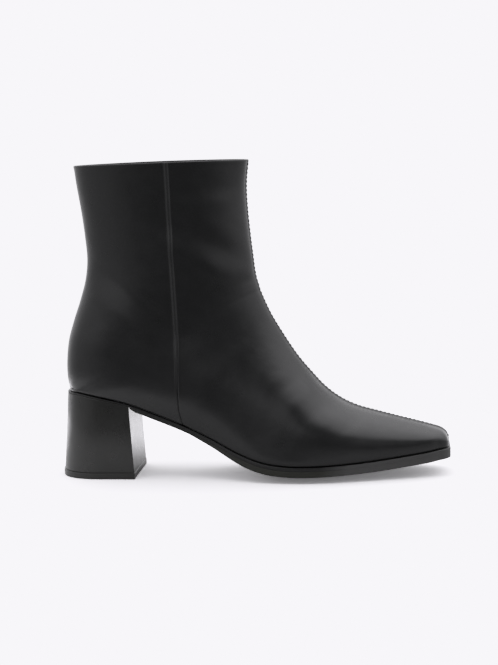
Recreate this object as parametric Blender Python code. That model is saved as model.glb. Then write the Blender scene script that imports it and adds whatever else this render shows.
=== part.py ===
# Ankle boot for the right foot: leather upper, insole, midsole, outsole, block heel and top lift
# Frame: +X to the toe, +Y to the medial side, +Z up, floor at Z = 0, origin on the heel tread
import math

import bpy
import numpy as np

# Driving sizes, in millimetres
LENGTH = 254.0          # scale of all places along the boot, the toe tip lies at 99.1 hundredths of it
BALL_WIDTH = 84.0       # scale of all widths, close to the feather line across the ball
HEEL_HEIGHT = 56.0      # floor to the feather line at the heel back
INSTEP_HEIGHT = 102.5   # floor to the front seam above the waist
SHAFT_HEIGHT = 205.0    # floor to the collar
HEEL_BACK_X = -25.8     # rearmost point of the upper
WALL = 2.2              # leather and lining together
GAP = 0.3               # clearance between neighbouring pieces
COLLAR_ARC = 0.45       # the collar rises this much above the straight line from its back to its front
MM = 0.001
SHARP_ANGLE = math.radians(40.0)

# Heel sizes, in millimetres
SEAT_ROUND_X = 2.0      # the seat outline is rounded behind this place
SEAT_POWER = 2.2        # how square the rounding is
HEEL_TOP_OUT = 0.3      # the heel stands out from the midsole edge
HEEL_TREAD_BACK = -29.0
HEEL_TREAD_BREAST = 21.9
HEEL_TREAD_HALF = 27.0
LIFT_THICK = 4.0
LIFT_OUT_BACK = 0.6     # the lift stands out from the heel block
LIFT_OUT_BREAST = 0.3
LIFT_OUT_SIDE = 0.4

# Sole sizes, in millimetres
INSOLE_THICK = 2.5
INSOLE_INSET = WALL + 0.5     # from the feather line to the insole edge
INSOLE_TOE_ALONG = 95.5       # the insole ends here, in hundredths of LENGTH
MIDSOLE_SEAT_THICK = 1.1
MIDSOLE_THICK = 2.4
MIDSOLE_RAMP = (0.4, 4.0)     # the midsole grows to its full thickness this far ahead of the heel breast
OUTSOLE_WAIST_THICK = 0.8
OUTSOLE_THICK = 3.9
OUTSOLE_RAMP = (58.0, 94.0)   # the outsole grows to its full thickness between these places
OUTSOLE_START = 0.6           # the outsole begins this far ahead of the heel breast
THINNEST_HALF = 1.0           # half width below which the bed counts as one line

# Shaft sections, collar to heel corner. Along in hundredths of LENGTH from the heel back,
# up in hundredths of SHAFT_HEIGHT, half widths in hundredths of BALL_WIDTH
SHAFT_COLUMNS = ("front_along", "front_up", "back_along", "back_up", "widest_along", "widest_up",
                 "lateral", "medial", "belly", "crest_p", "crest_q")
SHAFT_SECTIONS = (
    (48.4, 100.2, 3.3, 99.0, 24.1, 99.6, 36.9, 36.9, 2.0, 2.0, 2.0),
    (47.8, 92.7, 4.0, 92.7, 24.3, 92.7, 36.3, 36.3, 2.0, 2.0, 2.0),
    (48.0, 84.9, 5.0, 84.9, 24.8, 84.9, 35.7, 35.7, 2.0, 2.0, 2.0),
    (48.6, 76.6, 5.8, 76.6, 25.6, 76.6, 35.2, 35.2, 2.0, 2.0, 2.0),
    (49.2, 70.0, 6.2, 69.3, 25.6, 69.5, 35.2, 35.2, 2.0, 2.0, 2.0),
    (49.6, 65.6, 5.6, 62.9, 24.5, 63.9, 35.5, 35.5, 2.0, 2.0, 2.0),
    (50.0, 62.9, 4.2, 56.6, 22.6, 58.5, 36.0, 36.0, 2.1, 2.0, 1.9),
    (50.4, 61.2, 2.4, 50.0, 20.4, 53.2, 36.4, 36.4, 2.2, 2.0, 1.9),
    (50.7, 59.9, 0.9, 43.2, 18.7, 47.8, 36.9, 36.9, 2.35, 2.0, 1.9),
    (50.9, 58.9, 0.36, 35.1, 18.2, 42.9, 37.1, 37.1, 2.55, 2.0, 1.9),
    (51.2, 58.0, 0.75, 27.4, 19.4, 39.0, 37.1, 37.1, 2.7, 2.0, 1.9),
)

# Foot sections, heel to toe. Seat along and up place the feather line, up in hundredths of
# HEEL_HEIGHT. Front and widest up are in hundredths of INSTEP_HEIGHT. Seat widths are half the feather line
FOOT_COLUMNS = ("front_along", "front_up", "seat_along", "seat_up", "widest_along", "widest_up",
                "seat_lateral", "seat_medial", "lateral", "medial", "belly", "crest_p", "crest_q")
FOOT_SECTIONS = (
    (51.8, 112.3, 4.6, 100.4, 22.0, 73.2, 32.1, 32.1, 37.3, 37.3, 2.7, 2.0, 1.9),
    (52.6, 107.8, 10.2, 95.9, 25.3, 69.3, 32.1, 32.1, 37.6, 37.5, 2.5, 2.0, 1.9),
    (53.6, 102.6, 17.6, 87.9, 29.8, 64.9, 32.5, 32.3, 38.1, 37.8, 2.3, 1.9, 1.9),
    (54.8, 97.3, 24.3, 76.4, 34.4, 59.5, 32.1, 30.4, 38.7, 38.1, 2.1, 2.05, 1.8),
    (56.4, 90.8, 31.4, 63.4, 39.4, 52.3, 32.1, 28.0, 39.3, 38.1, 2.0, 2.3, 1.7),
    (58.5, 82.6, 38.5, 48.6, 44.7, 43.0, 34.5, 28.6, 41.1, 39.3, 2.0, 2.7, 1.6),
    (61.0, 73.8, 45.6, 32.7, 50.1, 31.5, 40.5, 34.5, 44.6, 41.7, 2.3, 3.2, 1.5),
    (64.0, 64.9, 51.9, 23.2, 55.3, 21.5, 46.6, 43.2, 48.8, 47.0, 3.0, 3.7, 1.45),
    (67.4, 55.6, 58.2, 19.8, 60.6, 16.7, 49.7, 48.6, 51.5, 51.0, 4.0, 3.9, 1.4),
    (71.4, 48.0, 64.1, 19.4, 66.0, 16.5, 49.6, 50.2, 51.4, 52.1, 4.2, 3.8, 1.4),
    (75.9, 42.6, 70.4, 20.2, 71.9, 16.9, 46.4, 48.8, 48.5, 50.6, 4.0, 3.5, 1.4),
    (81.0, 39.0, 76.7, 21.7, 78.0, 17.7, 41.0, 44.5, 42.9, 46.4, 3.5, 3.1, 1.42),
    (86.3, 35.5, 83.0, 24.0, 84.1, 19.0, 34.8, 39.0, 36.7, 40.7, 3.2, 2.9, 1.45),
    (91.3, 32.4, 88.9, 26.9, 89.8, 20.5, 29.3, 33.4, 31.0, 35.0, 2.9, 2.7, 1.5),
    (95.2, 29.8, 93.8, 29.6, 94.4, 22.6, 24.4, 28.0, 26.0, 29.5, 2.8, 2.4, 1.55),
    (96.7, 28.7, 96.2, 31.4, 96.5, 22.9, 21.1, 24.6, 22.3, 25.8, 2.7, 2.4, 1.6),
    (97.8, 27.4, 97.7, 32.3, 97.7, 22.6, 18.9, 22.5, 19.8, 23.4, 2.5, 2.3, 1.7),
    (98.6, 25.5, 98.6, 32.8, 98.6, 21.8, 16.2, 19.8, 16.9, 20.4, 2.3, 2.2, 1.8),
    (99.0, 23.4, 99.1, 33.0, 99.1, 21.0, 12.5, 16.1, 12.9, 16.5, 2.0, 2.0, 2.0),
)

# Sole crown and margin along the boot. Along in hundredths of LENGTH, crown and margin in
# millimetres: the bed is that much lower in the middle, and the edge stands out by the margin
SOLE_COLUMNS = ("along", "crown", "margin")
SOLE_ROWS = (
    (0.0, 0.0, 0.9),
    (17.6, 0.0, -0.6),
    (26.0, 0.4, -0.4),
    (38.5, 1.4, 0.0),
    (50.0, 3.8, 0.7),
    (58.0, 4.7, 0.5),
    (66.0, 4.6, 0.6),
    (80.0, 0.6, 1.0),
    (100.0, 0.4, 1.4),
)

# Section numbers: the heel corner ends the shaft, and the heel breast, the forefoot and the toe follow
CORNER = len(SHAFT_SECTIONS) - 1
LAST = len(SHAFT_SECTIONS) + len(FOOT_SECTIONS) - 1
BREAST = CORNER + 3
FOREFOOT = CORNER + 11    # the lining's sections are drawn back from here on
TOE = CORNER + 15
LINING_SHORT = 1.4        # the lining ends this many sections before the toe tip

# Grid counts and spacing
BELLY_STEPS = 6
CREST_STEPS = 10
SIDE_STEPS = BELLY_STEPS + CREST_STEPS
SOLE_STEPS = 10
SHAFT_STATIONS = 15
CORNER_ANGLES = (15.0, 30.0, 45.0, 60.0, 75.0, 90.0)
BREAST_STEP = 0.06        # a second row just ahead of the breast, where the outsole begins
FOOT_STATIONS = 19
TOE_STEP = 0.5
SAME_PLACE = 1e-6

# Columns of a section row once it is in millimetres
FRONT = slice(0, 2)
BASE = slice(2, 4)
WIDEST = slice(4, 6)
SHAPE = slice(10, 13)
FRONT_X = 0
BASE_X = 2
SEAT_LATERAL = 6
SEAT_MEDIAL = 7
LATERAL = 8
MEDIAL = 9


def along_to_x(along):
    return HEEL_BACK_X + LENGTH * along / 100.0


def section_rows():
    """All sections in millimetres: front, base and widest places, base and widest halves, shape."""
    rows = []
    first_foot = dict(zip(FOOT_COLUMNS, FOOT_SECTIONS[0]))
    for row in SHAFT_SECTIONS:
        cell = dict(zip(SHAFT_COLUMNS, row))
        rows.append([
            along_to_x(cell["front_along"]), SHAFT_HEIGHT * cell["front_up"] / 100.0,
            along_to_x(cell["back_along"]), SHAFT_HEIGHT * cell["back_up"] / 100.0,
            along_to_x(cell["widest_along"]), SHAFT_HEIGHT * cell["widest_up"] / 100.0,
            BALL_WIDTH * first_foot["seat_lateral"] / 100.0, BALL_WIDTH * first_foot["seat_medial"] / 100.0,
            BALL_WIDTH * cell["lateral"] / 100.0, BALL_WIDTH * cell["medial"] / 100.0,
            cell["belly"], cell["crest_p"], cell["crest_q"],
        ])
    for row in FOOT_SECTIONS:
        cell = dict(zip(FOOT_COLUMNS, row))
        rows.append([
            along_to_x(cell["front_along"]), INSTEP_HEIGHT * cell["front_up"] / 100.0,
            along_to_x(cell["seat_along"]), HEEL_HEIGHT * cell["seat_up"] / 100.0,
            along_to_x(cell["widest_along"]), INSTEP_HEIGHT * cell["widest_up"] / 100.0,
            BALL_WIDTH * cell["seat_lateral"] / 100.0, BALL_WIDTH * cell["seat_medial"] / 100.0,
            BALL_WIDTH * cell["lateral"] / 100.0, BALL_WIDTH * cell["medial"] / 100.0,
            cell["belly"], cell["crest_p"], cell["crest_q"],
        ])
    return np.array(rows)


SECTIONS = section_rows()


def smooth_row(rows, place):
    """Catmull-Rom row at a fractional row number. The base line turns a sharp corner at the heel."""
    first = min(max(int(math.floor(place)), 0), len(rows) - 2)
    share = place - first
    before = rows[first - 1] if first > 0 else 2 * rows[0] - rows[1]
    after = rows[first + 2] if first + 2 < len(rows) else 2 * rows[-1] - rows[-2]
    here, there = rows[first], rows[first + 1]
    if first == CORNER - 1:
        after = after.copy()
        after[BASE] = (2 * there - here)[BASE]
    if first == CORNER:
        before = before.copy()
        before[BASE] = (2 * here - there)[BASE]
    return 0.5 * (2 * here + (there - before) * share
                  + (2 * before - 5 * here + 4 * there - after) * share ** 2
                  + (3 * here - before - 3 * there + after) * share ** 3)


def rounded_back(x, back, centre):
    """Share of the full half width that the rounded heel outline keeps at x."""
    reach = min(max((centre - x) / (centre - back), 0.0), 1.0)
    return max(1.0 - reach ** SEAT_POWER, 0.0) ** (1.0 / SEAT_POWER)


def base_halves(place, row):
    """Half widths of the feather line, lateral and medial, zero on the shaft."""
    if place <= CORNER:
        return 0.0, 0.0
    kept = rounded_back(row[BASE_X], SECTIONS[CORNER][BASE_X], SEAT_ROUND_X)
    return row[SEAT_LATERAL] * kept, row[SEAT_MEDIAL] * kept


def upper_point(place, side, step):
    """Outer surface of the upper at a section, on one side, counted from the base to the front seam."""
    row = smooth_row(SECTIONS, place)
    half = row[LATERAL] if side < 0 else row[MEDIAL]
    base = base_halves(place, row)[0 if side < 0 else 1]
    belly, crest_p, crest_q = row[SHAPE]
    if step <= BELLY_STEPS:
        turn = math.cos(0.5 * math.pi * step / BELLY_STEPS)
        low = (1.0 - (base / half) ** belly) ** (1.0 / belly)
        width = half * max(1.0 - (low * turn) ** belly, 0.0) ** (1.0 / belly)
        x, z = row[BASE] * turn + row[WIDEST] * (1.0 - turn)
        swing = 0.0
    else:
        turn = math.sin(0.5 * math.pi * (step - BELLY_STEPS) / CREST_STEPS)
        width = half * max(1.0 - turn ** crest_p, 0.0) ** (1.0 / crest_q)
        x, z = row[FRONT] * turn + row[WIDEST] * (1.0 - turn)
        swing = 0.5 * (row[MEDIAL] - row[LATERAL]) * turn ** 2
    if place < 1.0:
        reach = (x - row[BASE_X]) / (row[FRONT_X] - row[BASE_X])
        z += COLLAR_ARC * (1.0 - place) * 4.0 * reach * (1.0 - reach)
    return np.array([x, side * width + swing, z])


def stations():
    """Section places down the shaft, close together round the heel back, then along the foot."""
    shaft = list(np.linspace(0.0, CORNER, SHAFT_STATIONS))
    corner = [CORNER + 1.0 - math.cos(math.radians(angle)) for angle in CORNER_ANGLES]
    waist = [CORNER + 2.0, BREAST, BREAST + BREAST_STEP]
    foot = list(np.linspace(BREAST, TOE, FOOT_STATIONS))[1:]
    toe = list(np.arange(TOE + TOE_STEP, LAST + 0.5 * TOE_STEP, TOE_STEP))
    return shaft + corner + waist + foot + toe


STATIONS = stations()
CORNER_ROW = STATIONS.index(CORNER)
FEATHER_LINE = np.array([smooth_row(SECTIONS, place)[BASE] for place in STATIONS[CORNER_ROW:]])


def upper_row(place):
    """One section of the outer surface, lateral base over the front seam to the medial base."""
    lateral = [upper_point(place, -1, step) for step in range(SIDE_STEPS + 1)]
    medial = [upper_point(place, 1, step) for step in range(SIDE_STEPS)]
    return lateral + medial[::-1]


def row_normals(grid, closed_rows):
    """Outward unit normals of a grid of rows, wrapped round on the closed rows."""
    rows = len(grid)
    normals = np.zeros_like(grid)
    for i in range(rows):
        down = grid[min(i + 1, rows - 1)] - grid[max(i - 1, 0)]
        ahead = np.roll(grid[i], -1, axis=0)
        behind = np.roll(grid[i], 1, axis=0)
        if i < closed_rows:
            ahead[-1] = grid[i][1]
            behind[0] = grid[i][-2]
        else:
            ahead[-1] = grid[i][-1]
            behind[0] = grid[i][0]
        facing = np.cross(down, ahead - behind)
        normals[i] = facing / np.linalg.norm(facing, axis=1, keepdims=True)
    return normals


def feather_height(x):
    """Height of the feather line at x."""
    return float(np.interp(x, FEATHER_LINE[:, 0], FEATHER_LINE[:, 1]))


def sole_value(x, name):
    """Crown or margin of the sole at x."""
    column = SOLE_COLUMNS.index(name)
    return float(np.interp(x, [along_to_x(row[0]) for row in SOLE_ROWS], [row[column] for row in SOLE_ROWS]))


def make_object(name, points, faces, material):
    mesh = bpy.data.meshes.new(name)
    mesh.from_pydata([tuple(np.array(p) * MM) for p in points], [], faces)
    mesh.materials.append(material)
    mesh.validate()
    mesh.shade_smooth()
    mesh.set_sharp_from_angle(angle=SHARP_ANGLE)
    made = bpy.data.objects.new(name, mesh)
    made.parent = boot
    pieces.objects.link(made)
    return made


def grid_shell(grid, closed_rows, first, faces, inward):
    """Faces of one surface of the upper and the toe cap that ends it. Returns the index of each point."""
    rows, columns = grid.shape[:2]
    index = np.zeros((rows, columns), int)
    points = []
    for i in range(rows):
        for j in range(columns):
            if i < closed_rows and j == columns - 1:
                index[i, j] = index[i, 0]
                continue
            index[i, j] = first + len(points)
            points.append(grid[i, j])
    shell = []
    for i in range(rows - 1):
        for j in range(columns - 1):
            shell.append((index[i, j], index[i, j + 1], index[i + 1, j + 1], index[i + 1, j]))
    end = index[-1]
    for j in range(columns // 2):
        cap = [end[j], end[j + 1], end[columns - 2 - j], end[columns - 1 - j]]
        shell.append(tuple(dict.fromkeys(cap)))
    for face in shell:
        faces.append(face if inward else face[::-1])
    return points, index


def build_upper(material):
    outer = np.array([upper_row(place) for place in STATIONS])
    closed_rows = CORNER_ROW + 1
    # The lining follows the same sections, and stops short of the toe tip where the cap is thicker
    shrink = (LAST - LINING_SHORT - FOREFOOT) / (LAST - FOREFOOT)
    lining_places = [p if p < FOREFOOT else FOREFOOT + (p - FOREFOOT) * shrink for p in STATIONS]
    lining = np.array([upper_row(place) for place in lining_places])
    inner = lining - WALL * row_normals(lining, closed_rows)
    # The inner collar edge lies level with the outer one, along the collar's slope
    collar_run = outer[0, SIDE_STEPS] - outer[0, 0]
    slope = collar_run[2] / collar_run[0]
    inner[0, :, 2] = outer[0, :, 2] + slope * (inner[0, :, 0] - outer[0, :, 0])
    for i in range(CORNER_ROW, len(STATIONS)):
        for j in (0, -1):
            inner[i, j, 2] = feather_height(inner[i, j, 0])
    faces = []
    points, outside = grid_shell(outer, closed_rows, 0, faces, False)
    more, inside = grid_shell(inner, closed_rows, len(points), faces, True)
    points += more
    last = outer.shape[1] - 1
    for j in range(last):
        faces.append((outside[0, j], outside[0, j + 1], inside[0, j + 1], inside[0, j]))
    for i in range(CORNER_ROW, len(STATIONS) - 1):
        faces.append((outside[i, 0], inside[i, 0], inside[i + 1, 0], outside[i + 1, 0]))
        faces.append((outside[i + 1, last], inside[i + 1, last], inside[i, last], outside[i, last]))
    faces.append((outside[-1, 0], inside[-1, 0], inside[-1, last], outside[-1, last]))
    return make_object("upper", points, faces, material)


def feather_outline():
    """Plan points of the feather line at each station from the heel corner: lateral and medial."""
    lateral, medial = [], []
    for place in STATIONS[CORNER_ROW:]:
        row = smooth_row(SECTIONS, place)
        halves = base_halves(place, row)
        lateral.append((row[BASE_X], -halves[0]))
        medial.append((row[BASE_X], halves[1]))
    return np.array(lateral), np.array(medial)


FEATHER = feather_outline()


def moved_outline(margin):
    """The feather outline moved outwards in plan, by a margin for each point."""
    lateral, medial = FEATHER
    ring = np.vstack([lateral[::-1], medial[1:]])
    ahead = np.roll(ring, -1, axis=0)
    behind = np.roll(ring, 1, axis=0)
    step_in = ring - behind
    step_out = ahead - ring
    step_in /= np.linalg.norm(step_in, axis=1, keepdims=True)
    step_out /= np.linalg.norm(step_out, axis=1, keepdims=True)
    run = step_in + step_out
    run /= np.linalg.norm(run, axis=1, keepdims=True)
    out = np.column_stack([-run[:, 1], run[:, 0]])
    out *= np.sign(np.sum(out * (ring - ring.mean(axis=0)), axis=1))[:, None]
    moved = ring + out * np.array([margin(p[0]) for p in ring])[:, None]
    count = len(lateral)
    return moved[:count][::-1], moved[count - 1:]


def bed_height(x, y):
    """Height of the bed that the foot rests on, lower in the middle by the crown."""
    lateral, medial = FEATHER
    left = float(np.interp(x, lateral[:, 0], lateral[:, 1]))
    right = float(np.interp(x, medial[:, 0], medial[:, 1]))
    middle = 0.5 * (left + right)
    half = max(0.5 * (right - left), THINNEST_HALF)
    across = min(abs(y - middle) / half, 1.0)
    return feather_height(x) - sole_value(x, "crown") * (1.0 - across ** 2)


def plan_grid(lateral, medial):
    """Rows of plan points across the sole, from the lateral outline to the medial outline."""
    rows = []
    for left, right in zip(lateral, medial):
        rows.append([left + (right - left) * step / SOLE_STEPS for step in range(SOLE_STEPS + 1)])
    return np.array(rows)


def build_slab(name, top, bottom, material):
    """Closed solid between two grids of points. A first row that is one place becomes a single point."""
    rows, columns = top.shape[:2]
    points, faces, index = [], [], {}
    for level, grid in enumerate((top, bottom)):
        pointed = np.ptp(grid[0], axis=0).max() < SAME_PLACE
        for i in range(rows):
            for j in range(columns):
                if i == 0 and pointed and j > 0:
                    index[level, i, j] = index[level, 0, 0]
                    continue
                index[level, i, j] = len(points)
                points.append(grid[i, j])

    def face(*corners):
        kept = list(dict.fromkeys(index[c] for c in corners))
        if len(kept) > 2:
            faces.append(tuple(kept))

    for i in range(rows - 1):
        for j in range(columns - 1):
            face((0, i, j), (0, i + 1, j), (0, i + 1, j + 1), (0, i, j + 1))
            face((1, i, j), (1, i, j + 1), (1, i + 1, j + 1), (1, i + 1, j))
        face((0, i, 0), (1, i, 0), (1, i + 1, 0), (0, i + 1, 0))
        face((0, i + 1, columns - 1), (1, i + 1, columns - 1), (1, i, columns - 1), (0, i, columns - 1))
    for j in range(columns - 1):
        face((0, 0, j), (0, 0, j + 1), (1, 0, j + 1), (1, 0, j))
        face((0, rows - 1, j + 1), (0, rows - 1, j), (1, rows - 1, j), (1, rows - 1, j + 1))
    return make_object(name, points, faces, material)


def lifted(plan, height):
    """A plan grid given heights by a function of x and y."""
    return np.array([[(p[0], p[1], height(p[0], p[1])) for p in row] for row in plan])


def midsole_thick(x):
    breast = SECTIONS[BREAST][BASE_X]
    return float(np.interp(x - breast, MIDSOLE_RAMP, (MIDSOLE_SEAT_THICK, MIDSOLE_THICK)))


def midsole_top(x, y):
    return bed_height(x, y) - GAP


def midsole_bottom(x, y):
    return midsole_top(x, y) - midsole_thick(x)


def outsole_bottom(x, y):
    """Underside of the outsole, cut flat where it would pass below the floor."""
    thick = float(np.interp(x, OUTSOLE_RAMP, (OUTSOLE_WAIST_THICK, OUTSOLE_THICK)))
    return max(midsole_bottom(x, y) - GAP - thick, 0.0)


def build_soles(material_insole, material_midsole, material_outsole):
    lateral, medial = moved_outline(lambda x: -INSOLE_INSET)
    keep = lateral[:, 0] < along_to_x(INSOLE_TOE_ALONG)
    plan = plan_grid(lateral[keep], medial[keep])
    build_slab("insole", lifted(plan, lambda x, y: bed_height(x, y) + INSOLE_THICK),
               lifted(plan, bed_height), material_insole)
    plan = plan_grid(*moved_outline(lambda x: sole_value(x, "margin")))
    build_slab("midsole", lifted(plan, midsole_top), lifted(plan, midsole_bottom), material_midsole)
    plan = plan[plan[:, 0, 0] > SECTIONS[BREAST][BASE_X] + OUTSOLE_START]
    build_slab("outsole", lifted(plan, lambda x, y: midsole_bottom(x, y) - GAP),
               lifted(plan, outsole_bottom), material_outsole)


def heel_plan(lateral, back, breast, half):
    """Heel outline rows with the same count as the seat rows, rounded behind and straight at the breast."""
    first, last = lateral[0, 0], lateral[-1, 0]
    centre = back + half
    rows = []
    for x_seat in lateral[:, 0]:
        x = back + (breast - back) * (x_seat - first) / (last - first)
        y = half * rounded_back(x, back, centre)
        rows.append(((x, -y), (x, y)))
    rows = np.array(rows)
    return plan_grid(rows[:, 0], rows[:, 1])


def build_heel(material_heel, material_lift):
    lateral, medial = moved_outline(lambda x: sole_value(x, "margin") + HEEL_TOP_OUT)
    count = STATIONS.index(BREAST) - CORNER_ROW + 1
    lateral, medial = lateral[:count], medial[:count]
    top = lifted(plan_grid(lateral, medial), lambda x, y: midsole_bottom(x, y) - GAP)
    block_foot = heel_plan(lateral, HEEL_TREAD_BACK + LIFT_OUT_BACK, HEEL_TREAD_BREAST - LIFT_OUT_BREAST,
                           HEEL_TREAD_HALF - LIFT_OUT_SIDE)
    build_slab("heel", top, lifted(block_foot, lambda x, y: LIFT_THICK + GAP), material_heel)
    tread = heel_plan(lateral, HEEL_TREAD_BACK, HEEL_TREAD_BREAST, HEEL_TREAD_HALF)
    build_slab("top_lift", lifted(tread, lambda x, y: LIFT_THICK), lifted(tread, lambda x, y: 0.0),
               material_lift)


def plain_material(name, colour, roughness):
    made = bpy.data.materials.new(name)
    made.use_nodes = True
    shader = made.node_tree.nodes["Principled BSDF"]
    shader.inputs["Base Color"].default_value = (*colour, 1.0)
    shader.inputs["Roughness"].default_value = roughness
    return made


for leftover in list(bpy.data.objects):
    bpy.data.objects.remove(leftover, do_unlink=True)
pieces = bpy.data.collections.new("ankle_boot")
bpy.context.scene.collection.children.link(pieces)
boot = bpy.data.objects.new("boot", None)
pieces.objects.link(boot)

leather = plain_material("black_leather", (0.012, 0.012, 0.013), 0.35)
sock = plain_material("insole_leather", (0.05, 0.05, 0.05), 0.7)
board = plain_material("midsole_board", (0.012, 0.012, 0.012), 0.5)
tread_rubber = plain_material("outsole_rubber", (0.04, 0.04, 0.04), 0.6)
heel_stack = plain_material("heel_block", (0.028, 0.028, 0.025), 0.45)
lift_rubber = plain_material("lift_rubber", (0.02, 0.02, 0.02), 0.6)

build_upper(leather)
build_soles(sock, board, tread_rubber)
build_heel(heel_stack, lift_rubber)
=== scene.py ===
import math

import bmesh
import bpy
import numpy as np
from mathutils import Matrix, Vector


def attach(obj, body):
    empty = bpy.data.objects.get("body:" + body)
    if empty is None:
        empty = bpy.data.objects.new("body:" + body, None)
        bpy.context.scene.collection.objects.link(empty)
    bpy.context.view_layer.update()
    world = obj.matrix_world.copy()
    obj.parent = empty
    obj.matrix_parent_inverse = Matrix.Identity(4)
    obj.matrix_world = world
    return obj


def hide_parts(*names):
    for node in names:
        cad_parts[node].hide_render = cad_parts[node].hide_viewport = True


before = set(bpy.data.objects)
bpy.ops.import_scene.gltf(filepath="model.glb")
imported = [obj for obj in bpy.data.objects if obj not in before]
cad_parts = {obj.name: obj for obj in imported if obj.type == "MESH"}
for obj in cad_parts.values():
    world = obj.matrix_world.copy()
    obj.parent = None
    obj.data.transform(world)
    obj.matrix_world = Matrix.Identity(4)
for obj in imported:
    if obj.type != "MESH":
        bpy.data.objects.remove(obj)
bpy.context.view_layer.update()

# Driving sizes of the boot, in millimetres, as in the solids
LENGTH = 254.0
BALL_WIDTH = 84.0
HEEL_HEIGHT = 56.0
INSTEP_HEIGHT = 102.5
SHAFT_HEIGHT = 205.0
HEEL_BACK_X = -25.8
WALL = 2.2
GAP = 0.3
COLLAR_ARC = 0.45
MM = 0.001

# Heel and sole sizes, in millimetres, as in the solids
SEAT_ROUND_X = 2.0
SEAT_POWER = 2.2
HEEL_TOP_OUT = 0.3
HEEL_TREAD_BACK = -29.0
HEEL_TREAD_BREAST = 21.9
HEEL_TREAD_HALF = 27.0
LIFT_THICK = 4.0
LIFT_OUT_BACK = 0.6
LIFT_OUT_BREAST = 0.3
LIFT_OUT_SIDE = 0.4
INSOLE_THICK = 2.5
INSOLE_INSET = WALL + 0.5
INSOLE_TOE_ALONG = 95.5
MIDSOLE_SEAT_THICK = 1.1
MIDSOLE_THICK = 2.4
MIDSOLE_RAMP = (0.4, 4.0)
OUTSOLE_WAIST_THICK = 0.8
OUTSOLE_THICK = 3.9
OUTSOLE_RAMP = (58.0, 94.0)
OUTSOLE_START = 0.6
THINNEST_HALF = 1.0

# Soft edges and small gaps of the sole and the heel, in millimetres
JOINT_SOFT = 0.3                # rounding of the joint between the two sole layers
JOINT_BUFFED_SOFT = 0.01        # what is left of it towards the toe
JOINT_FADE = (138.0, 172.0)     # it is buffed away between these places
RAND_OUT = 0.3                  # the rand stands out by this much at the heel back
RAND_FADE = (-25.5, -17.0)      # and ends between these places
EDGE_SOFT = 0.5
SOCK_SOFT_TOP = 0.9
SOCK_SOFT_BOTTOM = 0.3
SOFT_LIMIT = 0.42               # largest rounding, as a share of the layer's thickness
LAYER_GAP = 0.05                # between the two sole layers
HEEL_GAP = 0.06                 # above and below the heel block
HEEL_BEVEL = 0.3
LIFT_BEVEL = 0.2

# Shaft sections, collar to heel corner, in hundredths of LENGTH, SHAFT_HEIGHT and BALL_WIDTH
SHAFT_COLUMNS = ("front_along", "front_up", "back_along", "back_up", "widest_along", "widest_up",
                 "lateral", "medial", "belly", "crest_p", "crest_q")
SHAFT_SECTIONS = (
    (48.4, 100.2, 3.3, 99.0, 24.1, 99.6, 36.9, 36.9, 2.0, 2.0, 2.0),
    (47.8, 92.7, 4.0, 92.7, 24.3, 92.7, 36.3, 36.3, 2.0, 2.0, 2.0),
    (48.0, 84.9, 5.0, 84.9, 24.8, 84.9, 35.7, 35.7, 2.0, 2.0, 2.0),
    (48.6, 76.6, 5.8, 76.6, 25.6, 76.6, 35.2, 35.2, 2.0, 2.0, 2.0),
    (49.2, 70.0, 6.2, 69.3, 25.6, 69.5, 35.2, 35.2, 2.0, 2.0, 2.0),
    (49.6, 65.6, 5.6, 62.9, 24.5, 63.9, 35.5, 35.5, 2.0, 2.0, 2.0),
    (50.0, 62.9, 4.2, 56.6, 22.6, 58.5, 36.0, 36.0, 2.1, 2.0, 1.9),
    (50.4, 61.2, 2.4, 50.0, 20.4, 53.2, 36.4, 36.4, 2.2, 2.0, 1.9),
    (50.7, 59.9, 0.9, 43.2, 18.7, 47.8, 36.9, 36.9, 2.35, 2.0, 1.9),
    (50.9, 58.9, 0.36, 35.1, 18.2, 42.9, 37.1, 37.1, 2.55, 2.0, 1.9),
    (51.2, 58.0, 0.75, 27.4, 19.4, 39.0, 37.1, 37.1, 2.7, 2.0, 1.9),
)

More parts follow.
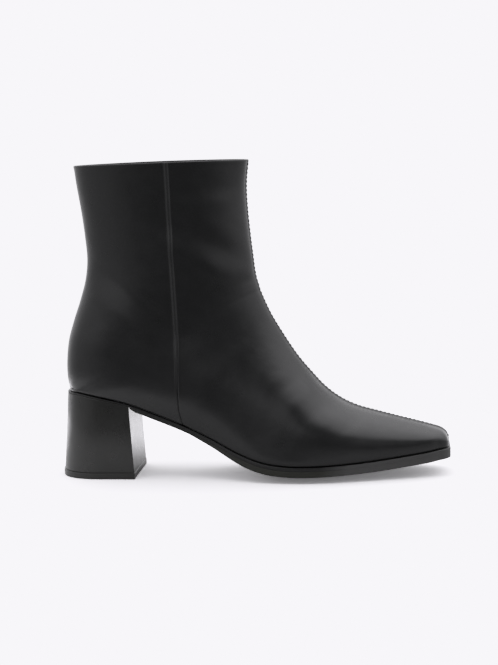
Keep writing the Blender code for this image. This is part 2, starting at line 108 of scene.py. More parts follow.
# Foot sections, heel to toe. Seat up is in hundredths of HEEL_HEIGHT, the other heights of INSTEP_HEIGHT
FOOT_COLUMNS = ("front_along", "front_up", "seat_along", "seat_up", "widest_along", "widest_up",
                "seat_lateral", "seat_medial", "lateral", "medial", "belly", "crest_p", "crest_q")
FOOT_SECTIONS = (
    (51.8, 112.3, 4.6, 100.4, 22.0, 73.2, 32.1, 32.1, 37.3, 37.3, 2.7, 2.0, 1.9),
    (52.6, 107.8, 10.2, 95.9, 25.3, 69.3, 32.1, 32.1, 37.6, 37.5, 2.5, 2.0, 1.9),
    (53.6, 102.6, 17.6, 87.9, 29.8, 64.9, 32.5, 32.3, 38.1, 37.8, 2.3, 1.9, 1.9),
    (54.8, 97.3, 24.3, 76.4, 34.4, 59.5, 32.1, 30.4, 38.7, 38.1, 2.1, 2.05, 1.8),
    (56.4, 90.8, 31.4, 63.4, 39.4, 52.3, 32.1, 28.0, 39.3, 38.1, 2.0, 2.3, 1.7),
    (58.5, 82.6, 38.5, 48.6, 44.7, 43.0, 34.5, 28.6, 41.1, 39.3, 2.0, 2.7, 1.6),
    (61.0, 73.8, 45.6, 32.7, 50.1, 31.5, 40.5, 34.5, 44.6, 41.7, 2.3, 3.2, 1.5),
    (64.0, 64.9, 51.9, 23.2, 55.3, 21.5, 46.6, 43.2, 48.8, 47.0, 3.0, 3.7, 1.45),
    (67.4, 55.6, 58.2, 19.8, 60.6, 16.7, 49.7, 48.6, 51.5, 51.0, 4.0, 3.9, 1.4),
    (71.4, 48.0, 64.1, 19.4, 66.0, 16.5, 49.6, 50.2, 51.4, 52.1, 4.2, 3.8, 1.4),
    (75.9, 42.6, 70.4, 20.2, 71.9, 16.9, 46.4, 48.8, 48.5, 50.6, 4.0, 3.5, 1.4),
    (81.0, 39.0, 76.7, 21.7, 78.0, 17.7, 41.0, 44.5, 42.9, 46.4, 3.5, 3.1, 1.42),
    (86.3, 35.5, 83.0, 24.0, 84.1, 19.0, 34.8, 39.0, 36.7, 40.7, 3.2, 2.9, 1.45),
    (91.3, 32.4, 88.9, 26.9, 89.8, 20.5, 29.3, 33.4, 31.0, 35.0, 2.9, 2.7, 1.5),
    (95.2, 29.8, 93.8, 29.6, 94.4, 22.6, 24.4, 28.0, 26.0, 29.5, 2.8, 2.4, 1.55),
    (96.7, 28.7, 96.2, 31.4, 96.5, 22.9, 21.1, 24.6, 22.3, 25.8, 2.7, 2.4, 1.6),
    (97.8, 27.4, 97.7, 32.3, 97.7, 22.6, 18.9, 22.5, 19.8, 23.4, 2.5, 2.3, 1.7),
    (98.6, 25.5, 98.6, 32.8, 98.6, 21.8, 16.2, 19.8, 16.9, 20.4, 2.3, 2.2, 1.8),
    (99.0, 23.4, 99.1, 33.0, 99.1, 21.0, 12.5, 16.1, 12.9, 16.5, 2.0, 2.0, 2.0),
)

# Sole crown and margin along the boot, in hundredths of LENGTH and millimetres
SOLE_COLUMNS = ("along", "crown", "margin")
SOLE_ROWS = (
    (0.0, 0.0, 0.9),
    (17.6, 0.0, -0.6),
    (26.0, 0.4, -0.4),
    (38.5, 1.4, 0.0),
    (50.0, 3.8, 0.7),
    (58.0, 4.7, 0.5),
    (66.0, 4.6, 0.6),
    (80.0, 0.6, 1.0),
    (100.0, 0.4, 1.4),
)

# Section numbers, counted from the collar
CORNER = len(SHAFT_SECTIONS) - 1
LAST = len(SHAFT_SECTIONS) + len(FOOT_SECTIONS) - 1
BREAST = CORNER + 3
FOREFOOT = CORNER + 11
LINING_SHORT = 1.4      # the lining ends this many sections before the last one

# Columns of a section row once it is in millimetres
FRONT = slice(0, 2)
BASE = slice(2, 4)
WIDEST = slice(4, 6)
FRONT_X, BASE_X = 0, 2
SEAT_HALF = {-1: 6, 1: 7}
HALF = {-1: 8, 1: 9}
BELLY, CREST_P, CREST_Q = 10, 11, 12
HALF_COLUMNS = ("seat_lateral", "seat_medial", "lateral", "medial")
POWER_COLUMNS = ("belly", "crest_p", "crest_q")
SIDES = {-1: "lateral", 1: "medial"}
FRONT_TURN = 2.0        # a row turns from 0 at its base over 1 at the widest line to this in front

# Leather and lining, in millimetres
LEATHER = 1.3
LINING_FROM = 1.35
LINING_DROP = 0.9       # the lining ends this far below the collar edge
COLLAR_BEAD = 0.16      # the folded collar edge swells by this much
BEAD_DROP = 1.3         # and most at this distance below the edge
BEAD_WIDTH = 1.0
COLLAR_RISE = 0.8       # the folded edge stands this much above the wall's end
TOE_BULGE = 0.35        # the toe's end swells by this much

# Side seam, pressed open: its places along and up, its two soft lips and its groove, in millimetres
SIDE_SEAM = ((46.9, 208.0), (47.4, 205.1), (48.0, 185.5), (48.8, 157.5), (50.4, 118.0), (51.5, 92.0),
             (51.9, 68.5), (52.0, 52.7), (52.2, 44.6), (54.6, 33.0))
LIP_HEIGHT = 0.42
LIP_PLACE = 1.0
LIP_WIDTH = 0.38
LIP_FADE = (52.0, 74.0)     # the lips grow between these heights, below there is a plain line
GROOVE_DEPTH = 0.5
LIP_GROOVE_DEPTH = 0.2      # between the lips the groove is shallower
GROOVE_WIDTH = 0.32

# Crease above the sole, in millimetres
FEATHER_TUCK = (0.7, 0.4, 0.18)     # at the heel, at the waist and at the toe
FEATHER_CHANGE = (15.0, 60.0, 200.0)
FEATHER_REACH = 0.85

# Front seam: raised ridge with a row of stitches, in millimetres
RIDGE_HEIGHT = 0.62
RIDGE_WIDTH = 1.15
RIDGE_GROOVE = 0.25
RIDGE_GROOVE_WIDTH = 0.26
STITCH_PITCH = 2.83
STITCH_LENGTH = 1.9
STITCH_THICK = 0.74
STITCH_LIFT = 0.43
STITCH_YAW = math.radians(14.0)
STITCH_ENDS = (3.2, 17.0)    # plain leather before the first and behind the last stitch
STITCH_LOOK = 1.0            # a stitch follows the seam over this distance to both sides
STITCH_SQUARE = 0.7          # below 1 the ends of a stitch are blunter

# Soft folds of the leather: two ends, how far the fold spreads to each side, and its height, in millimetres
FOLD_COLUMNS = ("x_start", "z_start", "x_end", "z_end", "spread", "height")
FOLDS = (
    (-3.0, 142.0, 55.0, 92.0, 6.0, -0.75),
    (-12.0, 132.0, 46.0, 81.0, 7.0, 0.75),
    (46.0, 169.0, 92.0, 144.0, 6.5, -0.95),
    (40.0, 157.0, 86.0, 131.0, 6.5, 0.95),
    (52.0, 187.0, 86.0, 189.0, 5.0, -0.28),
    (52.0, 178.0, 86.0, 180.0, 5.0, 0.36),
    (-18.0, 90.0, 8.0, 82.0, 8.0, 0.3),
    (112.0, 54.0, 134.0, 70.0, 4.5, -0.26),
    (121.0, 46.0, 142.0, 60.0, 4.0, 0.24),
    (132.0, 40.0, 152.0, 52.0, 4.0, -0.22),
    (143.0, 36.0, 162.0, 46.0, 3.8, 0.2),
    (155.0, 32.0, 172.0, 42.0, 3.8, -0.18),
)
FOLD_ENDS = (-0.25, 0.3)     # a fold grows between these shares of its length, and fades the same way
FOLD_FACING = (0.15, 0.5)    # folds fade where the leather turns away from the side

# Mesh counts
ROWS_PER_SECTION = 10
CORNER_ROWS = 18
CAP_ROWS = 8
ROW_SAMPLES = 220
PLAIN_COLUMNS = 46
RING_POINTS = 560
SOLE_STEPS = 18
SOFT_STEPS = 5              # rings of a rounded sole edge
LINING_STEP = 2             # the lining takes every second row
SEAM_STEP = 3               # and the seam lines every third
FEATHER_STEP = 2
CREST_END_POINTS = 12
STITCH_SEGMENTS = 10
STITCH_RINGS = 8
HEEL_POINTS = 100           # on each side of a heel outline
BREAST_POINTS = 24          # across the heel breast
HEEL_LEVELS = 24
LIFT_LEVELS = 5
BEVEL_SEGMENTS = 3

# Mesh places and limits
FINE_OFFSETS = (0.0, 0.12, 0.28, 0.48, 0.72, 1.0, 1.35, 1.8, 2.4, 3.2)     # columns near a row's ends
FINE_LIMIT = 0.25           # largest share of a row for the fine columns at each end
COLLAR_ROWS = (0.0, 0.12, 0.3, 0.55, 0.9, 1.4, 2.1, 3.0)    # fine rows below the collar edge, in millimetres
SECTION_DROP = 15.5         # the first shaft section is this high
SAME_PLACE = 1e-4           # points closer than this are welded, in millimetres
TINY_LENGTH = 1e-9          # keeps a division away from zero
CORNER_EASE = 0.45          # reach of the easing at the heel corner, in sections
EASE_SPREAD = 1.5           # sections that are eased round the corner, in reaches
EASE_BASE = (0.4, 8.0)      # it grows between these distances from the feather line, in millimetres
EASE_SEAM = (0.45, 0.8)     # and fades between these shares of the row towards the side seam
SHARP_ANGLE = math.radians(50.0)
HEEL_SHARP_ANGLE = math.radians(35.0)
BEVEL_ANGLE = math.radians(50.0)


def along_to_x(along):
    return HEEL_BACK_X + LENGTH * along / 100.0


def section_rows():
    """All sections in millimetres: front, base and widest places, seat and widest halves, powers."""
    rows = []
    first_foot = dict(zip(FOOT_COLUMNS, FOOT_SECTIONS[0]))
    tables = [(SHAFT_COLUMNS, row, "back", SHAFT_HEIGHT, SHAFT_HEIGHT) for row in SHAFT_SECTIONS]
    tables += [(FOOT_COLUMNS, row, "seat", HEEL_HEIGHT, INSTEP_HEIGHT) for row in FOOT_SECTIONS]
    for columns, row, base, base_height, height in tables:
        cell = {**first_foot, **dict(zip(columns, row))}
        places = []
        for name, size in (("front", height), (base, base_height), ("widest", height)):
            places += [along_to_x(cell[name + "_along"]), size * cell[name + "_up"] / 100.0]
        halves = [BALL_WIDTH * cell[name] / 100.0 for name in HALF_COLUMNS]
        rows.append(places + halves + [cell[name] for name in POWER_COLUMNS])
    return np.array(rows)


SECTIONS = section_rows()


def smooth_rows(places):
    """Catmull-Rom rows at fractional section numbers. The base line turns a sharp corner at the heel."""
    places = np.asarray(places, float)
    padded = np.vstack([2 * SECTIONS[0] - SECTIONS[1], SECTIONS, 2 * SECTIONS[-1] - SECTIONS[-2]])
    first = np.clip(np.floor(places).astype(int), 0, LAST - 1)
    share = (places - first)[:, None]
    before, here, there, after = (padded[first + k] for k in range(4))
    above, below = (first == CORNER - 1)[:, None], (first == CORNER)[:, None]
    after[:, BASE] = np.where(above, 2 * there - here, after)[:, BASE]
    before[:, BASE] = np.where(below, 2 * here - there, before)[:, BASE]
    return 0.5 * (2 * here + (there - before) * share
                  + (2 * before - 5 * here + 4 * there - after) * share ** 2
                  + (3 * here - before - 3 * there + after) * share ** 3)


def rounded_back(x, back, centre):
    """Share of the full half width that the rounded heel outline keeps at x."""
    reach = np.clip((centre - x) / (centre - back), 0.0, 1.0)
    return np.maximum(1.0 - reach ** SEAT_POWER, 0.0) ** (1.0 / SEAT_POWER)


def base_half(places, rows, side):
    """Half width of the feather line on one side, zero on the shaft."""
    kept = rounded_back(rows[:, BASE_X], SECTIONS[CORNER][BASE_X], SEAT_ROUND_X)
    return np.where(places <= CORNER, 0.0, rows[:, SEAT_HALF[side]] * kept)


def side_surface(places, side, turns):
    """Points of one side of the upper, with one row of turns for each place."""
    rows = smooth_rows(places)
    half = rows[:, HALF[side]][:, None]
    base = base_half(places, rows, side)[:, None]
    belly = rows[:, BELLY][:, None]
    low_turn = np.cos(0.5 * np.pi * np.clip(turns, 0.0, 1.0))
    high_turn = np.sin(0.5 * np.pi * np.clip(turns - 1.0, 0.0, 1.0))
    low = (1.0 - (base / half) ** belly) ** (1.0 / belly)
    low_width = half * np.maximum(1.0 - (low * low_turn) ** belly, 0.0) ** (1.0 / belly)
    crest = np.maximum(1.0 - high_turn ** rows[:, CREST_P][:, None], 0.0)
    high_width = half * crest ** (1.0 / rows[:, CREST_Q][:, None])
    is_low = turns <= 1.0
    share = np.where(is_low, low_turn, high_turn)
    end = np.where(is_low[..., None], rows[:, None, BASE], rows[:, None, FRONT])
    flat = end * share[..., None] + rows[:, None, WIDEST] * (1.0 - share[..., None])
    swing = np.where(is_low, 0.0, 0.5 * (rows[:, HALF[1]] - rows[:, HALF[-1]])[:, None] * high_turn ** 2)
    across = side * np.where(is_low, low_width, high_width) + swing
    near_collar = np.maximum(1.0 - places, 0.0)[:, None]
    span = np.where(near_collar > 0.0, rows[:, None, FRONT_X] - rows[:, None, BASE_X], 1.0)
    reach = (flat[..., 0] - rows[:, None, BASE_X]) / span
    arc = COLLAR_ARC * near_collar * 4.0 * reach * (1.0 - reach)
    rise = COLLAR_RISE * near_collar
    return np.stack([flat[..., 0], across, flat[..., 1] + arc + rise], axis=-1)


def panel_places():
    """Section numbers of the mesh rows, close together below the collar and round the heel corner."""
    collar = [drop / SECTION_DROP for drop in COLLAR_ROWS]
    shaft = list(np.linspace(collar[-1], CORNER, CORNER * ROWS_PER_SECTION))[1:]
    angles = np.linspace(0.0, 0.5 * math.pi, CORNER_ROWS + 1)[1:]
    corner = [CORNER + 1.0 - math.cos(angle) for angle in angles]
    foot = list(np.linspace(CORNER + 1.0, LAST, (LAST - CORNER - 1) * ROWS_PER_SECTION + 1))[1:]
    return np.array(collar + shaft + corner + foot)


PLACES = panel_places()
CORNER_AT = int(np.argmin(np.abs(PLACES - CORNER)))


def seam_turns(places, side):
    """Turn at which each row crosses the side seam, zero where the whole row lies ahead of it."""
    seam_x, seam_z = np.array(SIDE_SEAM)[::-1].T
    turns = np.linspace(0.0, FRONT_TURN, ROW_SAMPLES)
    points = side_surface(places, side, np.tile(turns, (len(places), 1)))
    ahead = points[..., 0] - np.interp(points[..., 2], seam_z, seam_x)
    found = np.zeros(len(places))
    for i, line in enumerate(ahead):
        if line[0] >= 0.0:
            continue
        k = int(np.argmax(line > 0.0))
        share = line[k - 1] / (line[k - 1] - line[k])
        found[i] = turns[k - 1] + share * (turns[k] - turns[k - 1])
    return found


def run_lengths(points):
    """Distances along a line of points, or along each row of a grid."""
    steps = np.linalg.norm(np.diff(points, axis=-2), axis=-1)
    return np.concatenate([np.zeros_like(steps[..., :1]), np.cumsum(steps, axis=-1)], axis=-1)


def spread_columns(length):
    """Places along a row of that length, close together near both ends."""
    fine = np.array(FINE_OFFSETS) * min(1.0, FINE_LIMIT * length / FINE_OFFSETS[-1])
    middle = np.linspace(fine[-1], length - fine[-1], PLAIN_COLUMNS + 2)[1:-1]
    return np.concatenate([fine, middle, (length - fine)[::-1]])


def panel_grid(places, side, low, high):
    """Grid of base surface points between two turns of each row, closer together near its ends."""
    share = np.linspace(0.0, 1.0, ROW_SAMPLES)
    turns = low[:, None] + (high - low)[:, None] * share
    dense = side_surface(places, side, turns)
    rows = zip(run_lengths(dense), turns)
    chosen = np.array([np.interp(spread_columns(run[-1]), run, turn) for run, turn in rows])
    return side_surface(places, side, chosen)


def grid_normals(grid, side):
    """Unit normals of a grid that point away from the foot."""
    down = np.gradient(grid, axis=0)
    across = np.gradient(grid, axis=1)
    outward = np.cross(down, across) * -side
    length = np.linalg.norm(outward, axis=2, keepdims=True)
    return outward / np.maximum(length, TINY_LENGTH)


def ease_corner(grid, places):
    """Softens the crease that runs into the quarter from the sharp heel corner."""
    apart = (places[:, None] - places[None, :]) / CORNER_EASE
    weight = np.exp(-apart ** 2) * np.gradient(places)[None, :]
    eased = np.einsum("ij,jkl->ikl", weight / weight.sum(axis=1, keepdims=True), grid)
    run = run_lengths(grid)
    inside = soft_step(run, *EASE_BASE) * (1.0 - soft_step(run / run[:, -1:], *EASE_SEAM))
    near = np.exp(-((places - CORNER) / (EASE_SPREAD * CORNER_EASE)) ** 2)[:, None]
    return grid + (near * inside)[..., None] * (eased - grid)


def line_distance(points, line):
    """Shortest distance of each point to a polyline."""
    flat = points.reshape(-1, 3)
    best = np.full(len(flat), np.inf)
    for start, end in zip(line[:-1], line[1:]):
        run = end - start
        share = np.clip((flat - start) @ run / max(run @ run, TINY_LENGTH ** 2), 0.0, 1.0)
        best = np.minimum(best, np.linalg.norm(flat - start - share[:, None] * run, axis=1))
    return best.reshape(points.shape[:-1])


def soft_step(value, start, end):
    share = np.clip((value - start) / (end - start), 0.0, 1.0)
    return share * share * (3.0 - 2.0 * share)


def fold_height(points):
    """Soft troughs and ridges of the leather, on both sides."""
    height = np.zeros(points.shape[:-1])
    flat = points[..., [0, 2]]
    for row in FOLDS:
        cell = dict(zip(FOLD_COLUMNS, row))
        start = np.array((cell["x_start"], cell["z_start"]))
        run = np.array((cell["x_end"], cell["z_end"])) - start
        length = np.linalg.norm(run)
        along = (flat - start) @ run / length
        off = (flat - start) @ np.array((-run[1], run[0])) / length
        grown = (FOLD_ENDS[0] * length, FOLD_ENDS[1] * length)
        fade = soft_step(along, *grown) * soft_step(length - along, *grown)
        height += cell["height"] * fade * np.exp(-(off / cell["spread"]) ** 2)
    return height


def seam_height(points, seam):
    """The two lips and the groove of a side seam."""
    away = line_distance(points, seam)
    grown = soft_step(points[..., 2], *LIP_FADE)
    lips = LIP_HEIGHT * grown * np.exp(-((away - LIP_PLACE) / LIP_WIDTH) ** 2)
    depth = GROOVE_DEPTH + (LIP_GROOVE_DEPTH - GROOVE_DEPTH) * grown
    return lips - depth * np.exp(-(away / GROOVE_WIDTH) ** 2)


def ridge_height(points, seam):
    """The raised front seam."""
    away = line_distance(points, seam)
    ridge = RIDGE_HEIGHT * np.exp(-(away / RIDGE_WIDTH) ** 2)
    return ridge - RIDGE_GROOVE * np.exp(-(away / RIDGE_GROOVE_WIDTH) ** 2)


def feather_tuck(points, line):
    """How far the leather is drawn in where it meets the sole."""
    depth = np.interp(points[..., 0], FEATHER_CHANGE, FEATHER_TUCK)
    return depth * np.exp(-(line_distance(points, line) / FEATHER_REACH) ** 2)


def collar_round(places, thick):
    """How far the collar edge is drawn in from the outer face, for each row."""
    radius = 0.5 * thick
    drop = places * SECTION_DROP
    inside = np.clip(radius - drop, 0.0, radius)
    return radius - np.sqrt(np.maximum(radius ** 2 - inside ** 2, 0.0))


def collar_bead(places):
    """How far the folded collar edge swells, for each row."""
    drop = places * SECTION_DROP
    return COLLAR_BEAD * np.exp(-((drop - BEAD_DROP) / BEAD_WIDTH) ** 2)


def shell_faces(shape, open_low=0):
    """Quads of a closed sheet: outer and inner grid, and four walls. The low wall starts at row open_low."""
    rows, columns = shape
    count = rows * columns
    index = np.arange(count).reshape(rows, columns)
    faces = []

    def strip(a, b, c, d):
        faces.append(np.stack([a.ravel(), b.ravel(), c.ravel(), d.ravel()], axis=1))

    strip(index[:-1, :-1], index[:-1, 1:], index[1:, 1:], index[1:, :-1])
    inner = index + count
    strip(inner[:-1, :-1], inner[1:, :-1], inner[1:, 1:], inner[:-1, 1:])
    strip(index[0, 1:], index[0, :-1], inner[0, :-1], inner[0, 1:])
    strip(index[-1, :-1], index[-1, 1:], inner[-1, 1:], inner[-1, :-1])
    strip(index[:-1, -1], inner[:-1, -1], inner[1:, -1], index[1:, -1])
    kept = np.arange(open_low, rows - 1)
    strip(index[kept, 0], index[kept + 1, 0], inner[kept + 1, 0], inner[kept, 0])
    return np.vstack(faces)


def show_mesh(name, mesh, material):
    mesh.materials.append(material)
    mesh.shade_smooth()
    piece = bpy.data.objects.new(name, mesh)
    bpy.context.scene.collection.objects.link(piece)
    return piece


def finish_mesh(name, points, faces, material, sharp=SHARP_ANGLE):
    """A piece from points in millimetres, welded, with its faces pointing out."""
    mesh = bpy.data.meshes.new(name)
    mesh.from_pydata((np.asarray(points) * MM).tolist(), [], [list(map(int, face)) for face in faces])
    shape = bmesh.new()
    shape.from_mesh(mesh)
    bmesh.ops.remove_doubles(shape, verts=shape.verts, dist=SAME_PLACE * MM)
    bmesh.ops.dissolve_degenerate(shape, edges=shape.edges, dist=SAME_PLACE * MM)
    bmesh.ops.recalc_face_normals(shape, faces=shape.faces)
    shape.to_mesh(mesh)
    shape.free()
    piece = show_mesh(name, mesh, material)
    mesh.set_sharp_from_angle(angle=sharp)
    return piece


def place_piece(piece, node):
    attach(piece, "root")
    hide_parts(node)
    return piece


# The upper's panels
def toe_cap(last_row):
    """Rows that close the toe from the last section to its middle line."""
    middle = 0.5 * (SECTIONS[-1][HALF[1]] - SECTIONS[-1][HALF[-1]])
    rows = []
    for share in np.linspace(0.0, 1.0, CAP_ROWS + 1)[1:]:
        row = last_row.copy()
        row[:, 1] += (middle - row[:, 1]) * share
        row[:, 0] += TOE_BULGE * (1.0 - (1.0 - share) ** 2)
        rows.append(row)
    return np.array(rows)


def panel_sheet(grid, side, seam, crest):
    """Outer and inner points of a panel with its folds, seams and rounded collar edge."""
    normals = grid_normals(grid, side)
    sideways = soft_step(np.abs(normals[..., 1]), *FOLD_FACING)
    height = fold_height(grid) * sideways + seam_height(grid, seam) - feather_tuck(grid, FEATHER_LINES[side])
    if crest is not None:
        height += ridge_height(grid, crest)
    places = np.full(len(grid), float(LAST))
    places[:min(len(PLACES), len(grid))] = PLACES[:len(grid)]
    draw = collar_round(places, LEATHER)[:, None]
    height = height + collar_bead(places)[:, None]
    outer = grid + normals * (height - draw)[..., None]
    inner = grid + normals * (np.minimum(height, 0.0) - LEATHER + draw)[..., None]
    return outer, inner


def join_sheets(sheets, open_low=0):
    """Points and faces of one or more closed sheets, each an outer and an inner grid."""
    points, faces, first = [], [], 0
    for outer, inner in sheets:
        faces.append(shell_faces(outer.shape[:2], open_low) + first)
        points += [outer.reshape(-1, 3), inner.reshape(-1, 3)]
        first += 2 * outer.shape[0] * outer.shape[1]
    return np.vstack(points), np.vstack(faces)


def build_front(side, material):
    grid = panel_grid(PLACES, side, SEAM_TURNS[side], np.full(len(PLACES), FRONT_TURN))
    grid = np.concatenate([grid, toe_cap(grid[-1])])
    sheet = panel_sheet(grid, side, SEAM_LINES[side], CREST_LINE)
    piece = finish_mesh("front_" + SIDES[side], *join_sheets([sheet]), material)
    return place_piece(piece, "upper")


def build_quarter(material):
    sheets = []
    for side in SIDES:
        kept = int(np.argmax(SEAM_TURNS[side] <= 0.0))
        places = PLACES[:kept]
        grid = panel_grid(places, side, np.zeros(kept), SEAM_TURNS[side][:kept])
        sheet = panel_sheet(ease_corner(grid, places), side, SEAM_LINES[side], None)
        for face in sheet:
            face[:CORNER_AT + 1, 0, 1] = 0.0
        sheets.append(sheet)
    piece = finish_mesh("quarter", *join_sheets(sheets, CORNER_AT), material)
    return place_piece(piece, "upper")


def build_lining(material):
    """Inner sheet of the upper, drawn back at the toe and a little lower than the collar edge."""
    shrink = (LAST - LINING_SHORT - FOREFOOT) / (LAST - FOREFOOT)
    rows = PLACES[::LINING_STEP]
    places = rows + LINING_DROP / SECTION_DROP * np.maximum(1.0 - rows, 0.0)
    places = np.where(places < FOREFOOT, places, FOREFOOT + (places - FOREFOOT) * shrink)
    corner = int(np.argmax(places >= CORNER))
    sheets = []
    for side in SIDES:
        grid = panel_grid(places, side, np.zeros(len(places)), np.full(len(places), FRONT_TURN))
        normals = grid_normals(grid, side)
        normals[:, -1, 1] = 0.0
        normals[:corner + 1, 0, 1] = 0.0
        sheet = (grid - LINING_FROM * normals, grid - WALL * normals)
        for face in sheet:
            face[:corner + 1, 0, 1] = 0.0
        sheets.append(sheet)
    piece = finish_mesh("lining", *join_sheets(sheets, corner), material)
    return place_piece(piece, "upper")


def seam_line(side):
    """The side seam on the base surface."""
    turns = SEAM_TURNS[side]
    kept = turns > 0.0
    points = side_surface(PLACES[kept], side, turns[kept][:, None])
    end = side_surface(PLACES[~kept][:1], side, np.zeros((1, 1)))[0]
    return np.vstack([points[::SEAM_STEP, 0], points[-1], end])


def feather_line(side):
    """The line where the upper meets the sole, on one side."""
    places = PLACES[CORNER_AT:]
    return side_surface(places, side, np.zeros((len(places), 1)))[::FEATHER_STEP, 0]


def crest_line():
    """The front seam on the base surface, from the collar over the toe to the sole."""
    top = side_surface(PLACES, -1, np.full((len(PLACES), 1), FRONT_TURN))[:, 0]
    end = side_surface(PLACES[-1:], -1, np.linspace(FRONT_TURN, 0.0, CREST_END_POINTS)[None, :])[0]
    end[:, 1] = top[-1, 1]
    end[:, 0] += TOE_BULGE
    return np.vstack([top[::SEAM_STEP], end])


def build_stitches(material):
    """Thread along the front seam: short rounded bars, joined into one mesh."""
    runs = run_lengths(CREST_LINE)

    def seam_place(run):
        return np.array([np.interp(run, runs, CREST_LINE[:, k]) for k in range(3)])

    shape = bmesh.new()
    for centre in np.arange(STITCH_ENDS[0], runs[-1] - STITCH_ENDS[1], STITCH_PITCH):
        along = Vector(seam_place(centre + STITCH_LOOK) - seam_place(centre - STITCH_LOOK)).normalized()
        out = along.cross(Vector((0.0, 1.0, 0.0))).normalized()
        if out.z < 0.0 and out.x < 0.0:
            out = -out
        if out.x < 0.0 and abs(out.x) > abs(out.z):
            out = -out
        along = Matrix.Rotation(STITCH_YAW, 3, out) @ along
        across = out.cross(along).normalized()
        half_thick = 0.5 * STITCH_THICK
        basis = Matrix((along * (0.5 * STITCH_LENGTH), across * half_thick, out * half_thick))
        basis = basis.transposed().to_4x4()
        basis.translation = Vector(seam_place(centre)) + out * STITCH_LIFT
        made = bmesh.ops.create_uvsphere(shape, u_segments=STITCH_SEGMENTS, v_segments=STITCH_RINGS,
                                         radius=1.0)
        for vert in made["verts"]:
            squared = Vector(vert.co)
            squared.x = math.copysign(abs(squared.x) ** STITCH_SQUARE, squared.x)
            vert.co = (basis @ squared) * MM
    mesh = bpy.data.meshes.new("front_stitches")
    shape.to_mesh(mesh)
    shape.free()
    piece = show_mesh("front_stitches", mesh, material)
    return place_piece(piece, "upper")


# Sole outlines and heights
FEATHER_PLACES = PLACES[CORNER_AT:]
FEATHER_ROWS = smooth_rows(FEATHER_PLACES)
FEATHER_X = FEATHER_ROWS[:, BASE_X]
FEATHER_Z = FEATHER_ROWS[:, BASE_X + 1]
FEATHER_HALF = {side: base_half(FEATHER_PLACES, FEATHER_ROWS, side) for side in SIDES}


def sole_value(x, name):
    column = SOLE_COLUMNS.index(name)
    return np.interp(x, [along_to_x(row[0]) for row in SOLE_ROWS], [row[column] for row in SOLE_ROWS])


def bed_height(x, y):
    """Height of the bed that the foot rests on, lower in the middle by the crown."""
    left = -np.interp(x, FEATHER_X, FEATHER_HALF[-1])
    right = np.interp(x, FEATHER_X, FEATHER_HALF[1])
    half = np.maximum(0.5 * (right - left), THINNEST_HALF)
    across = np.minimum(np.abs(y - 0.5 * (left + right)) / half, 1.0)
    return np.interp(x, FEATHER_X, FEATHER_Z) - sole_value(x, "crown") * (1.0 - across ** 2)


def midsole_thick(x):
    return np.interp(x - SECTIONS[BREAST][BASE_X], MIDSOLE_RAMP, (MIDSOLE_SEAT_THICK, MIDSOLE_THICK))


def midsole_top(x, y):
    return bed_height(x, y) - GAP


def midsole_bottom(x, y):
    return midsole_top(x, y) - midsole_thick(x)


def outsole_top(x, y):
    return midsole_bottom(x, y) - LAYER_GAP


def outsole_bottom(x, y):
    thick = np.interp(x, OUTSOLE_RAMP, (OUTSOLE_WAIST_THICK, OUTSOLE_THICK))
    return np.maximum(midsole_bottom(x, y) - GAP - thick, 0.0)


def even_ring(points, count):
    """A closed outline with evenly spaced points, starting at the first one."""
    closed = np.vstack([points, points[:1]])
    runs = run_lengths(closed)
    places = np.linspace(0.0, runs[-1], count + 1)[:-1]
    return np.stack([np.interp(places, runs, closed[:, k]) for k in range(2)], axis=1)


def ring_out(ring):
    """Outward plan normals of an outline that runs along the lateral side first."""
    run = np.roll(ring, -1, axis=0) - np.roll(ring, 1, axis=0)
    run /= np.linalg.norm(run, axis=1, keepdims=True)
    return np.column_stack([run[:, 1], -run[:, 0]])


def feather_ring():
    """Feather outline from the heel back along the lateral side to the toe and back."""
    lateral = np.column_stack([FEATHER_X, -FEATHER_HALF[-1]])
    medial = np.column_stack([FEATHER_X, FEATHER_HALF[1]])
    return even_ring(np.vstack([lateral, medial[:0:-1]]), RING_POINTS)


def moved_ring(ring, margin):
    moved = ring + ring_out(ring) * margin(ring[:, 0])[:, None]
    return even_ring(moved, RING_POINTS)


def cut_ring(ring, start):
    """The part of an outline ahead of a place, closed by a straight line there."""
    ahead = ring[ring[:, 0] > start]
    outline = np.vstack([[(start, 0.0), (start, ahead[0, 1])], ahead, [(start, ahead[-1, 1])]])
    return even_ring(outline, RING_POINTS)


def ring_faces(count, levels):
    """Quads between closed outlines of the same count of points."""
    faces = []
    for low in range(0, (levels - 1) * count, count):
        high = low + count
        for i in range(count):
            j = (i + 1) % count
            faces.append((low + i, low + j, high + j, high + i))
    return faces


